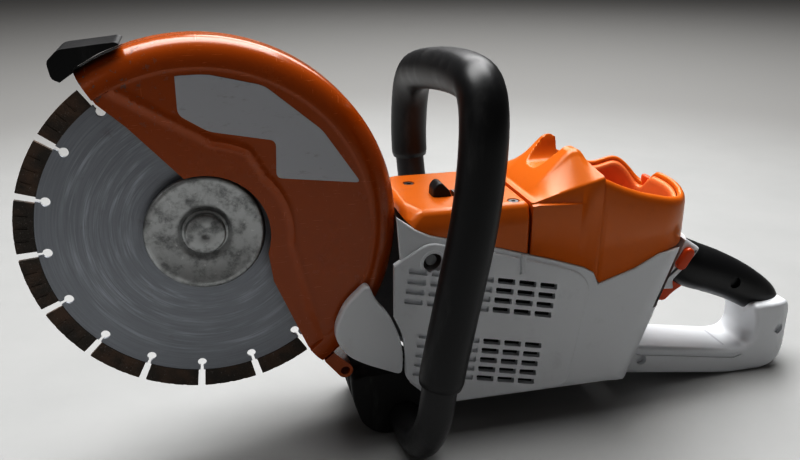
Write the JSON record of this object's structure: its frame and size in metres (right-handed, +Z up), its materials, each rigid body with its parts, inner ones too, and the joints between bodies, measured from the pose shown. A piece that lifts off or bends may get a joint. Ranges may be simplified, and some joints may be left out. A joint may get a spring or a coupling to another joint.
{
  "type": "abrasive chop saw",
  "caption": "Hand-held battery cut-off saw with a segmented cutting wheel, swivelling guard, belt-drive arm, looped front handle and rear trigger handle.",
  "frame": {"origin": "middle of the footprint on the ground, under the middle of the overall length and width", "axes": "+Z up, +X from the wheel to the rear handle, +Y away from the wheel's outer flange; the wheel turns about Y"},
  "size_m": [0.586, 0.243, 0.291],
  "materials": {
    "wheel_steel": "scuffed",
    "segment_metal": "rough",
    "zinc": "zinc plated, stained",
    "bright_steel": "bright",
    "dark_steel": "oiled",
    "belt_rubber": "ribbed",
    "rotor_steel": "laminated",
    "copper_windings": "enamelled",
    "cast_aluminium": "cast",
    "black_plastic": "moulded",
    "guard_orange": "glossy, chipped at the lip",
    "black_rubber": "soft",
    "label_film": "blank film",
    "light_plastic": "satin",
    "orange_plastic": "satin",
    "signal_orange": "satin",
    "brass": "bright",
    "cable_black": "insulation",
    "cable_red": "insulation",
    "bar_tube": "satin black"
  },
  "bodies": {
    "root": {"drive_belt": "belt_rubber", "stator": "copper_windings", "motor_frame": "cast_aluminium", "spindle_bearings": "bright_steel", "motor_bearings": "bright_steel", "arm_casing": "cast_aluminium", "arm_cover": "cast_aluminium", "arm_screws": "bright_steel", "lock_spring": "bright_steel", "guard_clamp_ring": "zinc", "left_housing": "light_plastic", "right_housing": "light_plastic", "nose_cover": "light_plastic", "top_cover": "orange_plastic", "battery_hood": "orange_plastic", "battery_shaft": "orange_plastic", "contact_block": "black_plastic", "contact_blades": "brass", "latch_pin": "bright_steel", "control_unit": "black_plastic", "motor_leads": "cable_black", "power_leads": "cable_red", "rear_handle_left": "light_plastic", "rear_handle_right": "light_plastic", "grip_cover": "black_rubber", "trigger_pin": "bright_steel", "trigger_spring": "bright_steel", "trigger_switch": "black_plastic", "lockout_spring": "bright_steel", "handlebar_tube": "bar_tube", "handlebar_sleeve": "black_rubber", "handlebar_bracket": "black_plastic", "front_foot": "black_rubber", "wrench_clip": "black_plastic", "housing_screws": "bright_steel", "cover_screws": "bright_steel", "handle_screws": "bright_steel", "sticker_strip": "label_film"},
    "guard": {"guard_left_shell": "guard_orange", "guard_right_shell": "guard_orange", "guard_rim": "guard_orange", "guard_bumper": "black_rubber", "guard_spacer": "guard_orange", "guard_label": "label_film"},
    "wheel": {"wheel_core": "wheel_steel", "wheel_segments": "segment_metal", "outer_flange": "zinc", "inner_flange": "zinc", "flange_bolt": "zinc", "spindle": "bright_steel", "driven_pulley": "dark_steel"},
    "rotor_body": {"motor_shaft": "bright_steel", "rotor": "rotor_steel", "cooling_fan": "black_plastic", "drive_pulley": "dark_steel"},
    "trigger_body": {"trigger": "signal_orange"},
    "lockout_body": {"lockout_button": "signal_orange"},
    "latch_body": {"battery_latch": "signal_orange"},
    "lock_body": {"spindle_lock": "black_plastic"},
    "wrench_body": {"wrench": "dark_steel"}
  },
  "joints": [
    {"name": "wheel_spin", "type": "hinge", "parent": "root", "child": "wheel", "pos_m": [-0.178, -0.022, 0.166], "axis": [0, 1, 0], "continuous": true},
    {"name": "rotor_spin", "type": "hinge", "parent": "root", "child": "rotor_body", "pos_m": [0.005, 0, 0.085], "axis": [0, 1, 0], "continuous": true},
    {"name": "guard_swivel", "type": "hinge", "parent": "root", "child": "guard", "pos_m": [-0.178, -0.022, 0.166], "axis": [0, 1, 0], "range_deg": [0, 45]},
    {"name": "trigger_pull", "type": "hinge", "parent": "root", "child": "trigger_body", "pos_m": [0.207, 0, 0.088], "axis": [0, 1, 0], "range_deg": [0, 8], "stiffness_Nm_per_rad": 0.4, "deforming": ["trigger_spring"]},
    {"name": "lockout_press", "type": "slide", "parent": "root", "child": "lockout_body", "axis": [0, 1, 0], "range_m": [0, 0.004], "stiffness_N_per_m": 300, "deforming": ["lockout_spring"]},
    {"name": "latch_tilt", "type": "hinge", "parent": "root", "child": "latch_body", "pos_m": [0.167, 0.02, 0.153], "axis": [0, 1, 0], "range_deg": [0, 12], "stiffness_Nm_per_rad": 0.3},
    {"name": "spindle_lock_press", "type": "slide", "parent": "root", "child": "lock_body", "axis": [0, -1, 0], "range_m": [0, 0.005], "stiffness_N_per_m": 300, "deforming": ["lock_spring"]},
    {"name": "wrench_lift", "type": "slide", "parent": "root", "child": "wrench_body", "axis": [0, 0, 1], "range_m": [0, 0.02]}
  ],
  "couplings": [
    {"joint": "rotor_spin", "follows": "wheel_spin", "ratio": 1.625}
  ]
}
